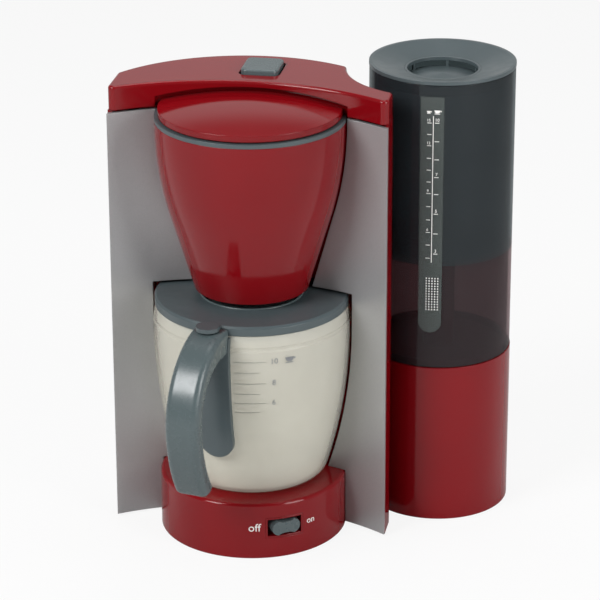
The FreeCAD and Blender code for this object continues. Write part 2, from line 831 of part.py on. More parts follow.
# The plinth under the tank: a closed drum with a neck to the housing, a rim that centres the
# tank, and a column that carries the water socket.
def at_tank(name, corners):
    return turned(name, corners, size.tank_x, size.tank_y)


plinth_inner = size.plinth_radius - size.plinth_wall
plinth_under = size.plinth_height - size.plinth_wall
tank_inner = size.tank_radius - size.tank_wall
spigot_radius = tank_inner - 0.3
column_bore = size.column_radius - 2.0
plinth_body = at_tank("PlinthBody", [
    (size.plinth_radius, 0.0),
    (size.plinth_radius, size.plinth_height),
    (spigot_radius, size.plinth_height),
    (spigot_radius, size.plinth_height + size.spigot_height),
    (spigot_radius - 1.8, size.plinth_height + size.spigot_height),
    (spigot_radius - 1.8, size.plinth_height),
    (column_bore, size.plinth_height),
    (column_bore, plinth_under),
    (plinth_inner, plinth_under),
    (plinth_inner, 0.0),
])
plinth_neck = minus(
    "PlinthNeck",
    shared("NeckBlank",
           block("NeckBlock", size.tank_x - size.bite_radius - 1.0, size.tank_x - 30.0,
                 size.neck_y - size.neck_width / 2, size.neck_y + size.neck_width / 2, as_size(0.0),
                 size.neck_height),
           cylinder("NeckReach", size.bite_radius, as_size(-1.0), size.plinth_height, size.tank_x, size.tank_y)),
    cylinder("NeckRoot", plinth_inner + 0.5, as_size(-2.0), size.plinth_height, size.tank_x, size.tank_y))
plinth_posts = [
    cylinder("PlinthBoss%d" % n, size.boss_radius, size.plate_thickness, plinth_under + 0.5, x, y)
    for n, (x, y) in enumerate(PLINTH_SCREWS, start=1)]
plinth_pilots = [
    cylinder("PlinthPilot%d" % n, size.screw_radius, 0.0, size.boss_height - 4.0, x, y)
    for n, (x, y) in enumerate(PLINTH_SCREWS, start=1)]
plinth_tunnel = cross_cylinder(
    "PlinthTunnel", size.tunnel_radius, size.hose_riser_x + 1.0, size.tank_x - 34.0, size.neck_y,
    size.hose_low_level)
tank_plinth = sub_part(minus(
    "TankPlinth", fused("PlinthSolid", plinth_body, plinth_neck, *plinth_posts),
    plinth_tunnel, *plinth_pilots), "tank_plinth")
water_column = sub_part(at_tank("WaterColumn", [
    (column_bore, size.plinth_height),
    (size.column_radius, size.plinth_height),
    (size.column_radius, size.column_top),
    (column_bore, size.column_top),
]), "water_column")
plinth_cover = sub_part(minus(
    "PlinthCover",
    cylinder("PlinthCoverDisc", plinth_inner - fit, as_size(0.0), size.plate_thickness, size.tank_x, size.tank_y),
    *screw_holes("PlinthCover", PLINTH_SCREWS)), "plinth_cover")

# The water tank: an upper vessel over an open sleeve, its outlet, and the level window.
floor_bottom = size.tank_floor - size.tank_floor_thickness
outlet_bottom = floor_bottom - size.outlet_length
tank_shell = at_tank("TankShell", [
    (size.tank_radius, floor_bottom),
    (size.tank_radius, size.tank_top),
    (tank_inner, size.tank_top),
    (tank_inner, size.tank_floor),
    (size.outlet_radius, size.tank_floor),
    (size.outlet_radius, floor_bottom),
])
sleeve_shell = at_tank("SleeveShell", [
    (size.tank_radius, size.tank_bottom),
    (size.tank_radius, floor_bottom),
    (tank_inner, floor_bottom),
    (tank_inner, size.tank_bottom),
])
half_window = size.window_width / 2
window_plate = place(plated("WindowPlate", "XZ_Plane", [
    (half_window, size.window_bottom + half_window),
    (half_window, size.window_top),
    (-half_window, size.window_top),
    (-half_window, size.window_bottom + half_window, half_window * 1.001, "left"),
], size.tank_radius * 2, size.tank_radius * 1.5), size.tank_x, size.tank_y)
window_layer = minus(
    "WindowLayer",
    cylinder("WindowOuter", size.tank_radius, size.window_bottom, size.window_top, size.tank_x, size.tank_y),
    cylinder("WindowInner", size.tank_radius - size.window_depth, size.window_bottom - 1, size.window_top + 1,
             size.tank_x, size.tank_y))
level_window = sub_part(shared("LevelWindow", window_layer, window_plate), "level_window")
tank_body = sub_part(minus("TankBody", tank_shell, level_window), "tank_body")
tank_sleeve = sub_part(minus("TankSleeve", sleeve_shell, level_window), "tank_sleeve")
tank_outlet = sub_part(at_tank("TankOutlet", [
    (size.outlet_radius, outlet_bottom),
    (size.outlet_radius, size.tank_floor),
    (size.outlet_radius + 3.0, size.tank_floor),
    (size.outlet_radius + 3.0, size.tank_floor + 1.6),
    (size.outlet_radius - 1.8, size.tank_floor + 1.6),
    (size.outlet_radius - 1.8, outlet_bottom),
]), "tank_outlet")
seal_bottom = outlet_bottom - 7.6
seal_bore = size.outlet_radius + 0.06
tank_seal = sub_part(at_tank("TankSeal", [
    (column_bore, seal_bottom),
    (column_bore, size.column_top - 0.4),
    (seal_bore, size.column_top - 0.4),
    (seal_bore, outlet_bottom - 1.0),
    (size.hose_radius, outlet_bottom - 2.0),
    (size.hose_radius, seal_bottom),
]), "tank_seal")

# The tank's lid: a dished ring with a skirt, and a slotted grille in its filling hole.
rim_bottom = size.tank_top + size.lid_rim_gap
rim_top = rim_bottom + size.lid_rim_thickness
dish_bottom = rim_top - size.lid_dish_depth
skirt_radius = tank_inner - 0.3
tank_lid = sub_part(at_tank("TankLid", [
    (size.lid_rim_radius, rim_bottom),
    (size.lid_rim_radius, rim_top),
    (size.lid_rim_radius - 1.8, rim_top),
    (size.lid_opening_radius, dish_bottom),
    (size.lid_opening_radius, dish_bottom - 2.0),
    (skirt_radius - 1.7, rim_top - 2.6),
    (skirt_radius - 1.7, rim_bottom - size.lid_skirt),
    (skirt_radius, rim_bottom - size.lid_skirt),
    (skirt_radius, rim_bottom),
]), "tank_lid")
grille_outer = size.lid_opening_radius - 0.1
grille_floor = dish_bottom - size.grille_depth
grille_ring = at_tank("GrilleRing", [
    (grille_outer, dish_bottom - 2.0),
    (grille_outer, dish_bottom),
    (grille_outer - size.grille_post, dish_bottom),
    (grille_outer - size.grille_post, dish_bottom - 2.0),
])
grille_cone = at_tank("GrilleCone", [
    (grille_outer, grille_floor - 0.6),
    (grille_outer, grille_floor + 1.0),
    (grille_outer - 3.0, grille_floor + 1.2),
    (3.0, grille_floor + 3.4),
    (0.0, grille_floor + 3.8),
    (0.0, grille_floor + 2.0),
    (grille_outer - 3.0, grille_floor - 0.6),
])
grille_posts = []
for number in range(6):
    post = block(
        "GrillePost%d" % (number + 1), grille_outer - size.grille_post + 0.2, grille_outer - 0.2,
        -size.grille_post / 2, size.grille_post / 2, as_size(0.0), dish_bottom - grille_floor - 1.0)
    grille_posts.append(wrapped(
        "GrilleArm%d" % (number + 1), post, 30.0 + 60.0 * number, size.tank_x, size.tank_y, grille_floor + 0.5))
fill_grille = sub_part(fused("FillGrille", grille_ring, grille_cone, *grille_posts), "fill_grille")


# The water path: a hose from the tank's socket to the valve, the valve and its spout.
chamber_low = niche_ceiling + 1.6
poppet_height = 1.6
seat_bottom = chamber_low + size.button_travel + poppet_height + 0.4
seat_top = seat_bottom + 1.6
valve_top = niche_ceiling + size.valve_height
inlet_level = chamber_low + 2.8
inlet_angle = math.degrees(math.atan2(
    (size.hose_riser_y - size.valve_y).number, size.hose_riser_x.number))


def at_valve(name, corners):
    return turned(name, corners, 0.0, size.valve_y)


valve_shell = at_valve("ValveShell", [
    (0.0, niche_ceiling),
    (size.valve_radius, niche_ceiling),
    (size.valve_radius, valve_top),
    (size.valve_bore, valve_top),
    (size.valve_bore, seat_top),
    (size.rod_radius + 1.2, seat_top),
    (size.rod_radius + 1.2, seat_bottom),
    (size.valve_bore, seat_bottom),
    (size.valve_bore, chamber_low),
    (0.0, chamber_low),
])
inlet_port = cross_cylinder(
    "InletPort", size.hose_bore, as_size(0.0), size.valve_radius + 2, as_size(0.0), as_size(0.0))
inlet_way = wrapped("InletWay", inlet_port, inlet_angle, 0.0, size.valve_y, inlet_level)
valve_body = sub_part(minus(
    "ValveBody", valve_shell, inlet_way,
    lying_cylinder("OutletPort", size.spout_radius, size.valve_y - size.valve_radius - 2, size.valve_y,
                   as_size(0.0), size.spout_level)), "valve_body")
valve_cap = sub_part(at_valve("ValveCap", [
    (size.rod_radius + 0.07, valve_top - 6.0),
    (size.valve_bore, valve_top - 6.0),
    (size.valve_bore, valve_top),
    (size.valve_radius, valve_top),
    (size.valve_radius, valve_top + 2.0),
    (size.rod_radius + 0.07, valve_top + 2.0),
]), "valve_cap")
spout_front = size.brew_axis_y + 9.0
spout_back = size.valve_y - size.valve_bore - 0.6
water_spout = sub_part(minus(
    "WaterSpout",
    lying_cylinder("SpoutTube", size.spout_radius, spout_front, spout_back, as_size(0.0), size.spout_level),
    lying_cylinder("SpoutBore", size.spout_bore, spout_front - 1, spout_back + 1, as_size(0.0),
                   size.spout_level)), "water_spout")


def point(x, y, z):
    return FreeCAD.Vector(as_size(x).number, as_size(y).number, as_size(z).number)


def rounded_path(points, radius):
    """Straight runs joined by tangent arcs of one radius."""
    edges = []
    here = points[0]
    for before, corner, after in zip(points, points[1:], points[2:]):
        inward = (corner - before).normalize()
        outward = (after - corner).normalize()
        turn = inward.getAngle(outward)
        reach = radius * math.tan(turn / 2)
        start = corner - inward * reach
        end = corner + outward * reach
        to_centre = (outward - inward).normalize()
        middle = corner + to_centre * (radius / math.cos(turn / 2) - radius)
        edges.append(Part.makeLine(here, start))
        edges.append(Part.Arc(start, middle, end).toShape())
        here = end
    edges.append(Part.makeLine(here, points[-1]))
    return Part.Wire(edges)


def swept(path, radius):
    """A round bar along a path."""
    start = path.Edges[0]
    direction = start.tangentAt(start.FirstParameter)
    place_of_start = start.valueAt(start.FirstParameter)
    ring = Part.Wire([Part.makeCircle(radius, place_of_start, direction)])
    return path.makePipeShell([ring], True, False)


def shaped(name, shape, label):
    """A sub-part whose shape is made from sizes read from the sheet."""
    thing = DOCUMENT.addObject("Part::Feature", name)
    thing.Shape = shape
    return sub_part(thing, label)


# The hose is held all the way: down from the valve, along the floor, through the neck and up.
inlet_reach = (size.valve_radius - 0.3).number
hose_start = point(
    inlet_reach * math.cos(math.radians(inlet_angle)),
    size.valve_y + inlet_reach * math.sin(math.radians(inlet_angle)), inlet_level)
hose_way = rounded_path([
    hose_start,
    point(size.hose_riser_x, size.hose_riser_y, size.hose_high_level),
    point(size.hose_riser_x, size.hose_riser_y, size.hose_low_level),
    point(size.hose_turn_x, size.hose_turn_y, size.hose_low_level),
    point(size.tank_x, size.tank_y, size.hose_low_level),
    point(size.tank_x, size.tank_y, seal_bottom + 4.0),
], size.hose_bend.number)
water_hose = shaped(
    "WaterHose",
    swept(hose_way, size.hose_radius.number).cut(swept(hose_way, size.hose_bore.number)), "water_hose")

# The brew button over the valve: cap, push rod with its collar, rubber poppet and spring.
button_top = bridge_top + size.button_stand
button_half_x = size.button_width / 2
button_half_y = size.button_length / 2
flange_top = collar_bottom - 0.7
flange_bottom = flange_top - 2.0
button_blank = rounded_block(
    "ButtonBlank", button_half_x, button_half_y, as_size(3.6), flange_bottom, button_top, 0.0, size.button_y)
round_edges(button_blank, "ButtonEdge", 1.2, lambda edge: edge.BoundBox.ZMin > button_top.number - 0.01)
rod_top = button_top - 5.0
brew_button = sub_part(minus(
    "BrewButton",
    fused("ButtonSolid",
          minus("ButtonShell",
                fused("ButtonBody", button_blank,
                      rounded_block("ButtonFlange", slot_half_x + 1.0, slot_half_y + 1.0, as_size(5.0),
                                    flange_bottom, flange_top, 0.0, size.button_y)),
                rounded_block("ButtonHollow", button_half_x - 1.8, button_half_y - 1.8, as_size(1.8),
                              flange_bottom - 1.0, button_top - 2.0, 0.0, size.button_y)),
          cylinder("ButtonSocket", size.rod_radius + 1.8, flange_bottom, button_top - 1.0, 0.0, size.valve_y)),
    cylinder("ButtonBore", size.rod_radius, flange_bottom - 1.0, rod_top, 0.0, size.valve_y)), "brew_button")
poppet_top = seat_bottom - 0.05
spring_base = valve_top + 2.0
spring_top = spring_base + size.spring_length
push_rod = sub_part(at_valve("PushRod", [
    (0.0, poppet_top - poppet_height),
    (size.rod_radius, poppet_top - poppet_height),
    (size.rod_radius, spring_top),
    (size.spring_radius + 1.0, spring_top),
    (size.spring_radius + 1.0, spring_top + 1.6),
    (size.rod_radius, spring_top + 1.6),
    (size.rod_radius, rod_top),
    (0.0, rod_top),
]), "push_rod")
valve_poppet = sub_part(at_valve("ValvePoppet", [
    (size.rod_radius, poppet_top - poppet_height),
    (size.valve_bore - 0.5, poppet_top - poppet_height),
    (size.valve_bore - 0.5, poppet_top),
    (size.rod_radius, poppet_top),
]), "valve_poppet")


def coil(radius, wire, bottom, top, turns):
    """An open coil spring, each quarter turn an arc through three points of the coil."""
    low = bottom + wire
    rise = top - bottom - 2 * wire
    quarters = int(round(turns * 4))

    def on_coil(quarter):
        angle = quarter * math.pi / 2
        return FreeCAD.Vector(
            radius * math.cos(angle), radius * math.sin(angle), low + rise * quarter / quarters)

    arcs = [Part.Arc(on_coil(q), on_coil(q + 0.5), on_coil(q + 1)).toShape() for q in range(quarters)]
    print("spring gap between turns, mm:", round(rise / turns - 2 * wire, 2))
    return swept(Part.Wire(arcs), wire)


button_spring = shaped("ButtonSpring", coil(
    size.spring_radius.number, size.spring_wire.number, 0.0, size.spring_length.number,
    size.spring_turns.number), "button_spring")
place(button_spring, 0.0, size.valve_y, spring_base)

# The power switch: a frame in the base, a rocker on an upright pin.
rocker_half_x = size.rocker_length / 2
rocker_half_z = size.rocker_height / 2
pivot_reach = size.base_radius - 4.5
bezel_blank = at_switch(plated("BezelBlank", "XZ_Plane", mirrored([
    (switch_half_x - fit / 2, size.switch_level - switch_half_z + fit / 2),
    (switch_half_x - fit / 2, size.switch_level + switch_half_z - fit / 2),
]), size.base_radius * 2 - 2 * bezel_back, size.base_radius))
rocker_window = at_switch(plated("RockerWindow", "XZ_Plane", mirrored([
    (rocker_half_x + size.rocker_gap, size.switch_level - rocker_half_z - size.rocker_gap),
    (rocker_half_x + size.rocker_gap, size.switch_level + rocker_half_z + size.rocker_gap),
]), size.base_radius * 2 - 2 * bezel_back - 3.0, size.base_radius))


def pin_place(name, radius, reach):
    """An upright cylinder on the rocker's pivot."""
    pin = cylinder(name, radius, as_size(0.0), 2 * reach)
    place(pin, 0.0, -pivot_reach, size.switch_level - reach)
    return wrapped(name + "Holder", pin, size.switch_turn, 0.0, size.brew_axis_y)


pin_reach = switch_half_z - 0.3
switch_bezel = sub_part(minus(
    "SwitchBezel",
    shared("BezelCurve", bezel_blank,
           cylinder("BezelReach", size.base_radius, as_size(0.0), size.base_height, 0.0, size.brew_axis_y)),
    rocker_window, pin_place("BezelPinHole", as_size(1.0), pin_reach)), "switch_bezel")
rocker_pin = sub_part(pin_place("RockerPin", as_size(1.0), pin_reach), "rocker_pin")
rocker_back = 1.6
rocker_reach = 16.0
rocker_blank = plated("RockerBlank", "XZ_Plane", mirrored([
    (rocker_half_x * 0.25, size.switch_level - size.rocker_waist / 2),
    (rocker_half_x - rocker_half_z, size.switch_level - rocker_half_z, rocker_half_z * 1.01, "left"),
    (rocker_half_x - rocker_half_z, size.switch_level + rocker_half_z),
    (rocker_half_x * 0.25, size.switch_level + size.rocker_waist / 2),
]), as_size(rocker_reach), rocker_reach / 2 - rocker_back)
rocker_level = minus(
    "RockerLevel",
    shared("RockerFace", rocker_blank,
           cylinder("RockerReach", size.base_radius + size.rocker_stand, as_size(0.0), size.base_height,
                    0.0, pivot_reach)),
    cylinder("RockerBore", as_size(1.06), as_size(0.0), size.base_height))
power_rocker = sub_part(wrapped(
    "PowerRocker", wrapped("RockerTilted", rocker_level, size.rocker_tilt, 0.0, -pivot_reach),
    size.switch_turn, 0.0, size.brew_axis_y), "power_rocker")

# The filter: a cup with a hollow rear wall and two tongues, a basket with a rim, and a lid.
cup_back_radius = filter_back_radius - size.cup_wall
basket_back_radius = cup_back_radius - size.basket_gap


def cup_solid(name, inset, bottom, back_radius, above_rim=0.0):
    """The cup's form, set in by some thickness, up to its rim or some way above it."""
    waist = size.cup_waist_radius - inset
    slope = (size.cup_waist_radius - size.cup_bottom_radius) / (size.cup_waist_height - size.cup_bottom_height)
    bottom_radius = waist - slope * (size.cup_waist_height - bottom)
    top_radius = size.cup_top_radius - inset
    top = size.cup_rim_height + above_rim
    corners = [
        (0.0, bottom),
        (bottom_radius, bottom),
        (waist, size.cup_waist_height, size.cup_side_bend - inset, "left"),
        (top_radius, size.cup_rim_height),
    ]
    if above_rim:
        corners.append((top_radius, top))
    corners.append((0.0, top))
    return shared(name, turned(name + "Form", corners),
                  front_zone(name + "Zone", back_radius, bottom - 1, top + 1))


drip_hole = cylinder("DripHole", size.drip_hole_radius, size.cup_bottom_height - 1,
                     size.cup_bottom_height + size.cup_wall + 1, 0.0, size.brew_axis_y)
filter_cup = sub_part(minus(
    "FilterCup",
    fused("CupSolid",
          cup_solid("CupOuter", as_size(0.0), size.cup_bottom_height, filter_back_radius),
          *tongues("CupTongue", as_size(0.0))),
    cup_solid("CupHollow", size.cup_wall, size.cup_bottom_height + size.cup_wall, cup_back_radius, 2.0),
    drip_hole,
    lying_cylinder("SpoutPort", size.spout_radius + 0.8, size.brew_axis_y, size.valve_y, as_size(0.0),
                   size.spout_level)), "filter_cup")
basket_inset = size.cup_wall + size.basket_gap
basket_rim = shared(
    "BasketRim",
    cylinder("BasketRimDisc", size.cup_top_radius, size.cup_rim_height, ring_top, 0.0, size.brew_axis_y),
    front_zone("BasketRimZone", filter_back_radius, size.cup_rim_height - 1, ring_top + 1))
basket_floor = size.basket_bottom_height + size.basket_wall
basket_holes = [
    cylinder("BasketHole%d" % n, as_size(3.0), size.basket_bottom_height - 1, basket_floor + 1, x, y)
    for n, (x, y) in enumerate(
        [(as_size(0.0), size.brew_axis_y)]
        + around(as_size(0.0), size.brew_axis_y, as_size(20.0), (180, 225, 270, 315, 360)), start=1)]
filter_basket = sub_part(minus(
    "FilterBasket",
    fused("BasketSolid", basket_rim,
          cup_solid("BasketOuter", basket_inset, size.basket_bottom_height, basket_back_radius, 1.0)),
    cup_solid("BasketHollow", basket_inset + size.basket_wall, basket_floor,
              basket_back_radius - size.basket_wall, 4.0),
    *basket_holes), "filter_basket")
skirt_outer = size.cup_top_radius - basket_inset - size.basket_wall - 0.6
skirt_top = filter_lid_shoulder - size.filter_lid_wall + 0.5
skirt_back = basket_back_radius - size.basket_wall - 0.6
filter_lid = sub_part(fused(
    "FilterLid",
    minus("FilterLidShell",
          shared("FilterLidOuter",
                 dome("LidOuter", size.filter_lid_radius, size.filter_lid_rise, filter_lid_bottom,
                      filter_lid_top, size.filter_lid_radius),
                 front_zone("LidOuterZone", filter_back_radius - 1.0, filter_lid_bottom - 1, bridge_top)),
          shared("FilterLidInner",
                 dome("LidInner", size.filter_lid_radius - size.filter_lid_wall, size.filter_lid_rise,
                      filter_lid_bottom - 1, filter_lid_top - size.filter_lid_wall, size.filter_lid_radius),
                 front_zone("LidInnerZone", filter_back_radius - 1.0 - size.filter_lid_wall,
                            filter_lid_bottom - 2, bridge_top))),
    minus("LidSkirt",
          shared("LidSkirtOuter",
                 cylinder("LidSkirtDisc", skirt_outer, ring_top - 3.0, skirt_top, 0.0, size.brew_axis_y),
                 front_zone("LidSkirtZone", skirt_back, ring_top - 4.0, skirt_top + 1)),
          shared("LidSkirtInner",
                 cylinder("LidSkirtBore", skirt_outer - 1.6, ring_top - 4.0, skirt_top + 1, 0.0,
                          size.brew_axis_y),
                 front_zone("LidSkirtBoreZone", skirt_back - 1.6, ring_top - 5.0, skirt_top + 2)))), "filter_lid")


# The jug: a clear bowl, its strip, the C-shaped grip in two halves, and the hinged lid.
def at_handle(name, thing):
    """Turn a piece drawn with X pointing away from the brewing axis into the handle's plane."""
    return wrapped(name, thing, size.handle_turn - 90.0, 0.0, size.brew_axis_y)


def jug_corners(grow, top):
    """The jug's outer side, grown outward, as the corners of a solid."""
    return [
        (0.0, jug_bottom),
        (size.jug_bottom_radius + grow, jug_bottom, size.jug_bottom_bend + grow, "left"),
        (size.jug_foot_radius + grow, size.jug_foot_height, size.jug_side_bend + grow, "left"),
        (size.jug_radius + grow, size.jug_belly_height),
        (size.jug_radius + grow, size.waist_height),
        (size.jug_rim_radius + grow + 0.2, top),
        (0.0, top),
    ]


waist_radius = size.jug_radius - size.waist_depth
jug_glass = sub_part(turned("JugGlass", [
    (0.0, jug_bottom),
    (size.jug_bottom_radius, jug_bottom, size.jug_bottom_bend, "left"),
    (size.jug_foot_radius, size.jug_foot_height, size.jug_side_bend, "left"),
    (size.jug_radius, size.jug_belly_height),
    (size.jug_radius, size.waist_height - 1.4),
    (waist_radius, size.waist_height - 0.6),
    (waist_radius, size.waist_height + 0.6),
    (waist_radius + 0.3, size.waist_height + 1.4),
    (size.jug_rim_radius, size.jug_rim_height),
    (size.jug_rim_radius - size.jug_wall, size.jug_rim_height),
    (waist_radius - size.jug_wall + 0.3, size.waist_height),
    (size.jug_radius - size.jug_wall, size.jug_belly_height, size.jug_side_bend - size.jug_wall, "right"),
    (size.jug_foot_radius - size.jug_wall, size.jug_foot_height + 0.5,
     size.jug_bottom_bend - size.jug_wall, "right"),
    (size.jug_bottom_radius - 0.5, jug_bottom + size.jug_wall),
    (0.0, jug_bottom + size.jug_wall),
]), "jug_glass")
jug_solid = turned("JugSolid", jug_corners(as_size(0.02), size.jug_rim_height + 1))
strip_form = turned("StripForm", jug_corners(size.strip_thickness, size.strip_top))
strip_half = size.strip_width / 2
strip_foot = size.strip_bottom + strip_half
strip_band = at_handle("StripBand", fused(
    "StripBlank",
    block("StripBlock", size.jug_foot_radius, size.jug_radius + size.strip_thickness + 1, -strip_half,
          strip_half, strip_foot, size.strip_top),
    cross_cylinder("StripFoot", strip_half, size.jug_foot_radius,
                   size.jug_radius + size.strip_thickness + 1, as_size(0.0), strip_foot)))
screw_level = size.jug_rim_height - 7.0
handle_screw = sub_part(at_handle("HandleScrew", fused(
    "HandleScrewSolid",
    cross_cylinder("HandleScrewHead", size.screw_head_radius, size.jug_radius + 0.4,
                   size.jug_radius + 0.4 + size.screw_head_height, as_size(0.0), screw_level),
    cross_cylinder("HandleScrewShank", size.screw_radius, size.jug_radius + 0.4,
                   size.jug_radius + size.screw_length, as_size(0.0), screw_level))), "handle_screw")
head_way = at_handle("HeadWay", cross_cylinder(
    "HeadWayBore", size.screw_head_radius, as_size(40.0), size.jug_radius + 0.4 + size.screw_head_height,
    as_size(0.0), screw_level))
handle_strip = sub_part(minus(
    "HandleStrip", shared("StripSolid", strip_form, strip_band), jug_solid, head_way, handle_screw),
    "handle_strip")
ear_top = size.hinge_level + 2.0
ear_back = size.hinge_reach - 4.1
grip_bow = size.jug_rim_height - size.grip_reach_drop
grip_end = size.jug_rim_height - size.grip_end_drop
grip_root = size.jug_rim_height - size.grip_root_drop
grip_inner = size.grip_reach - size.grip_thickness
grip_body = plated("GripBody", "XZ_Plane", [
    (ear_back, grip_root),
    (size.grip_root_reach, grip_root, 27.8, "right"),
    (grip_inner, grip_bow + 4.0, 72.6, "right"),
    (size.grip_end_inner, grip_end + size.grip_end_rise, 6.9, "left"),
    (size.grip_end_reach, grip_end, 87.5, "left"),
    (size.grip_reach, grip_bow, 47.9, "left"),
    (size.grip_root_reach + 2.0, ear_top),
    (ear_back, ear_top),
], size.grip_width)
round_edges(grip_body, "GripEdge", size.grip_edge_round, lambda edge: edge.BoundBox.YLength < 0.01
            and edge.BoundBox.XMin > ear_back.number + 0.01)
insert_root = size.grip_root_reach + 2.0
insert_end = size.jug_rim_height - size.insert_end_drop
insert_blank = plated("InsertBlank", "XZ_Plane", [
    (insert_root, grip_root - 5.5),
    (insert_root, grip_root + size.insert_depth, 31.4, "right"),
    (grip_inner + size.insert_depth, grip_bow + 4.0, 76.0, "right"),
    (size.grip_end_inner + size.insert_depth + 2.6, insert_end),
    (insert_root + 4.0, insert_end),
    (insert_root + 4.0, grip_root - 5.5),
], size.grip_width - 6.0)
pin_half = size.grip_width / 2 - 1.5
jug_hinge_pin = sub_part(at_handle("JugHingePin", lying_cylinder(
    "HingePinSolid", size.hinge_pin_radius, -pin_half, pin_half, size.hinge_reach, size.hinge_level)),
    "jug_hinge_pin")
knuckle_half = 4.6
knuckle_slot = block(
    "KnuckleSlot", ear_back - 1, size.hinge_reach + 4.2, as_size(-knuckle_half - 0.4), knuckle_half + 0.4,
    size.strip_top, ear_top + 1)
pin_way = lying_cylinder(
    "PinWay", size.hinge_pin_radius, -pin_half, pin_half, size.hinge_reach, size.hinge_level)
handle_inner = sub_part(minus(
    "HandleInner", at_handle("InsertTurned", shared("InsertSolid", grip_body, insert_blank)), handle_screw),
    "handle_inner")
handle_grip = sub_part(minus(
    "HandleGrip",
    at_handle("GripTurned", minus("GripSolid", grip_body, insert_blank, knuckle_slot, pin_way)),
    strip_form, handle_screw), "handle_grip")

lid_bottom = size.jug_rim_height + 0.2
lid_top = lid_bottom + size.jug_lid_height
lid_under = lid_top - size.jug_lid_wall
dish_top = lid_top - size.dish_depth
skirt_reach = size.jug_rim_radius - size.jug_wall - 0.6
lid_disc = turned("LidDisc", [
    (size.jug_lid_radius, lid_bottom),
    (size.jug_lid_radius, lid_top - 1.2),
    (size.jug_lid_radius - 1.2, lid_top),
    (size.dish_radius, lid_top),
    (size.dish_radius - 1.0, dish_top),
    (size.drip_hole_radius, dish_top - 0.3),
    (size.drip_hole_radius, dish_top - size.jug_lid_wall),
    (size.dish_radius + 1.0, dish_top - size.jug_lid_wall),
    (size.dish_radius + 2.0, lid_under),
    (skirt_reach - 1.8, lid_under),
    (skirt_reach - 1.8, lid_bottom - size.lid_skirt_depth),
    (skirt_reach, lid_bottom - size.lid_skirt_depth),
    (skirt_reach, lid_bottom),
])
thumb_bottom = ear_top + 0.8
lid_knuckle = at_handle("LidKnuckle", minus(
    "KnuckleSolid",
    fused("KnuckleBlank",
          block("KnuckleBlock", size.jug_lid_radius - 2.0, size.hinge_reach, as_size(-knuckle_half),
                as_size(knuckle_half), lid_bottom + 0.1, lid_top),
          lying_cylinder("KnuckleNose", as_size(3.0), as_size(-knuckle_half), as_size(knuckle_half),
                         size.hinge_reach, size.hinge_level),
          cylinder("ThumbDisc", size.thumb_radius, thumb_bottom, thumb_bottom + 2.4,
                   size.hinge_reach + 1.5, as_size(0.0))),
    lying_cylinder("KnuckleBore", size.hinge_pin_radius + 0.06, as_size(-knuckle_half - 1), knuckle_half + 1,
                   size.hinge_reach, size.hinge_level)))
jug_lid = sub_part(fused("JugLid", lid_disc, lid_knuckle), "jug_lid")

# Build, look at every object's state and every piece's shape, and write one file for each piece.
DOCUMENT.recompute()
failed = [thing.Name for thing in DOCUMENT.Objects if {"Invalid", "Error"} & set(thing.State)]
if failed:
    raise RuntimeError("objects that failed: " + ", ".join(failed))
for thing in SUB_PARTS:
    if thing.Shape.isNull() or not thing.Shape.isValid():
        raise RuntimeError("no sound shape for " + thing.Label)
os.makedirs("parts", exist_ok=True)
for thing in SUB_PARTS:
    thing.Shape.exportStep("parts/%s.step" % thing.Label)
print("pieces written:", len(SUB_PARTS))
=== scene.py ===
# %% [markdown]
# # Toy coffee maker
# This lesson dresses a toy drip coffee maker. The moulded shells come from the packed
# model and keep their shapes; the finishes, the printed scales and the small moulded
# details are made here. Lengths are written in millimetres and turned into metres by MM.

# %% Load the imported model
import bpy
import bmesh
import math
from mathutils import Matrix, Vector
from mathutils.bvhtree import BVHTree


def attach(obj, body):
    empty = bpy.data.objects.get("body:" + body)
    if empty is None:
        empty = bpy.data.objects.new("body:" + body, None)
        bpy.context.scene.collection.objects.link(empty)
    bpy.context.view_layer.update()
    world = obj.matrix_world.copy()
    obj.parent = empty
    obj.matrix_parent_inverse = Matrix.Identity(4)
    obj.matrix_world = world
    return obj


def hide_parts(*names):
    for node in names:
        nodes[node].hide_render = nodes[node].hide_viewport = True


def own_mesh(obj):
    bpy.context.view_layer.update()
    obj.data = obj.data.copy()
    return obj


MM = 0.001
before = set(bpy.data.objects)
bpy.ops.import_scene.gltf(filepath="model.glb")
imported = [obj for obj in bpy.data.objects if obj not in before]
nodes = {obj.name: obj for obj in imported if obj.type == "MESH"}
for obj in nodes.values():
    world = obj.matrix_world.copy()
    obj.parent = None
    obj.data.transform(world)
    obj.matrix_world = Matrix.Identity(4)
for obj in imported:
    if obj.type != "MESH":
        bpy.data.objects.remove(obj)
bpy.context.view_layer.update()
print("nodes loaded:", len(nodes))

# %% [markdown]
# ## Where things stand
# Two upright axes organise the machine: the brewing axis through the jug, the filter cup
# and the base drum, and the tank's own axis. Azimuths are measured from +X, so the front
# of a drum is at -90 degrees.

# %% Axes and shared places
BREW_AXIS = (0.0, 12.6)
TANK_AXIS = (101.2, 69.9)
print("brew axis", BREW_AXIS, "tank axis", TANK_AXIS)

# %% [markdown]
# ## Camera
# A long lens looks slightly down from the right of centre, as a catalogue photograph
# does. The picture is taken to be 600 by 600.

# %% Camera
LENS = 176.2
SENSOR = 36.0
AZIMUTH = math.radians(10.21)
ELEVATION = math.radians(22.04)
ROLL = math.radians(-0.16)
TARGET = Vector((26.74, 20.44, 137.38)) * MM
DISTANCE = 1695.9 * MM

